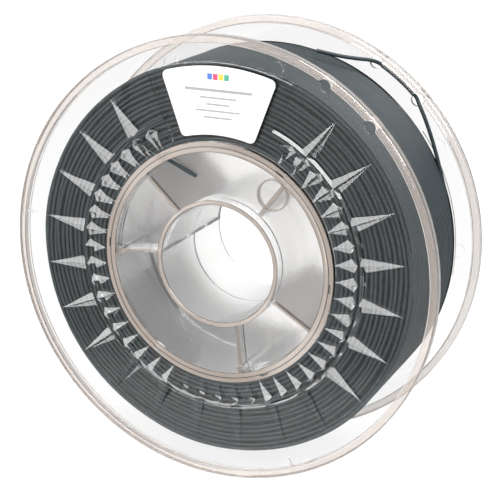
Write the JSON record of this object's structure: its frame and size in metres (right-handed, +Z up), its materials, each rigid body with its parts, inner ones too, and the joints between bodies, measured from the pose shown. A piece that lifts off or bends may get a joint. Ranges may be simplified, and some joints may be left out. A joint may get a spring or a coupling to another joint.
{
  "type": "filament spool",
  "caption": "Full spool of 3-D printer filament: clear ribbed flanges, a hollow clear hub with a spindle bore, grey wound filament and a blank label.",
  "frame": {"origin": "centre of the spindle bore, half way between the two rim faces", "axes": "+Y along the bore from the labelled front to the rear, +Z up through the spool as it stands, with the label just left of +Z, +X to the right as seen from the front"},
  "size_m": [0.2, 0.069, 0.2],
  "materials": {
    "clear_plastic": "clear polished styrene, as moulded",
    "label_film": "satin white film sticker",
    "filament": "dark slate grey extruded filament, glossy"
  },
  "bodies": {
    "root": {"front_flange": "clear_plastic", "rear_flange": "clear_plastic", "front_hub": "clear_plastic", "rear_hub": "clear_plastic", "front_label": "label_film", "filament_winding": "filament", "filament_start": "filament", "filament_tail": "filament"}
  },
  "joints": []
}
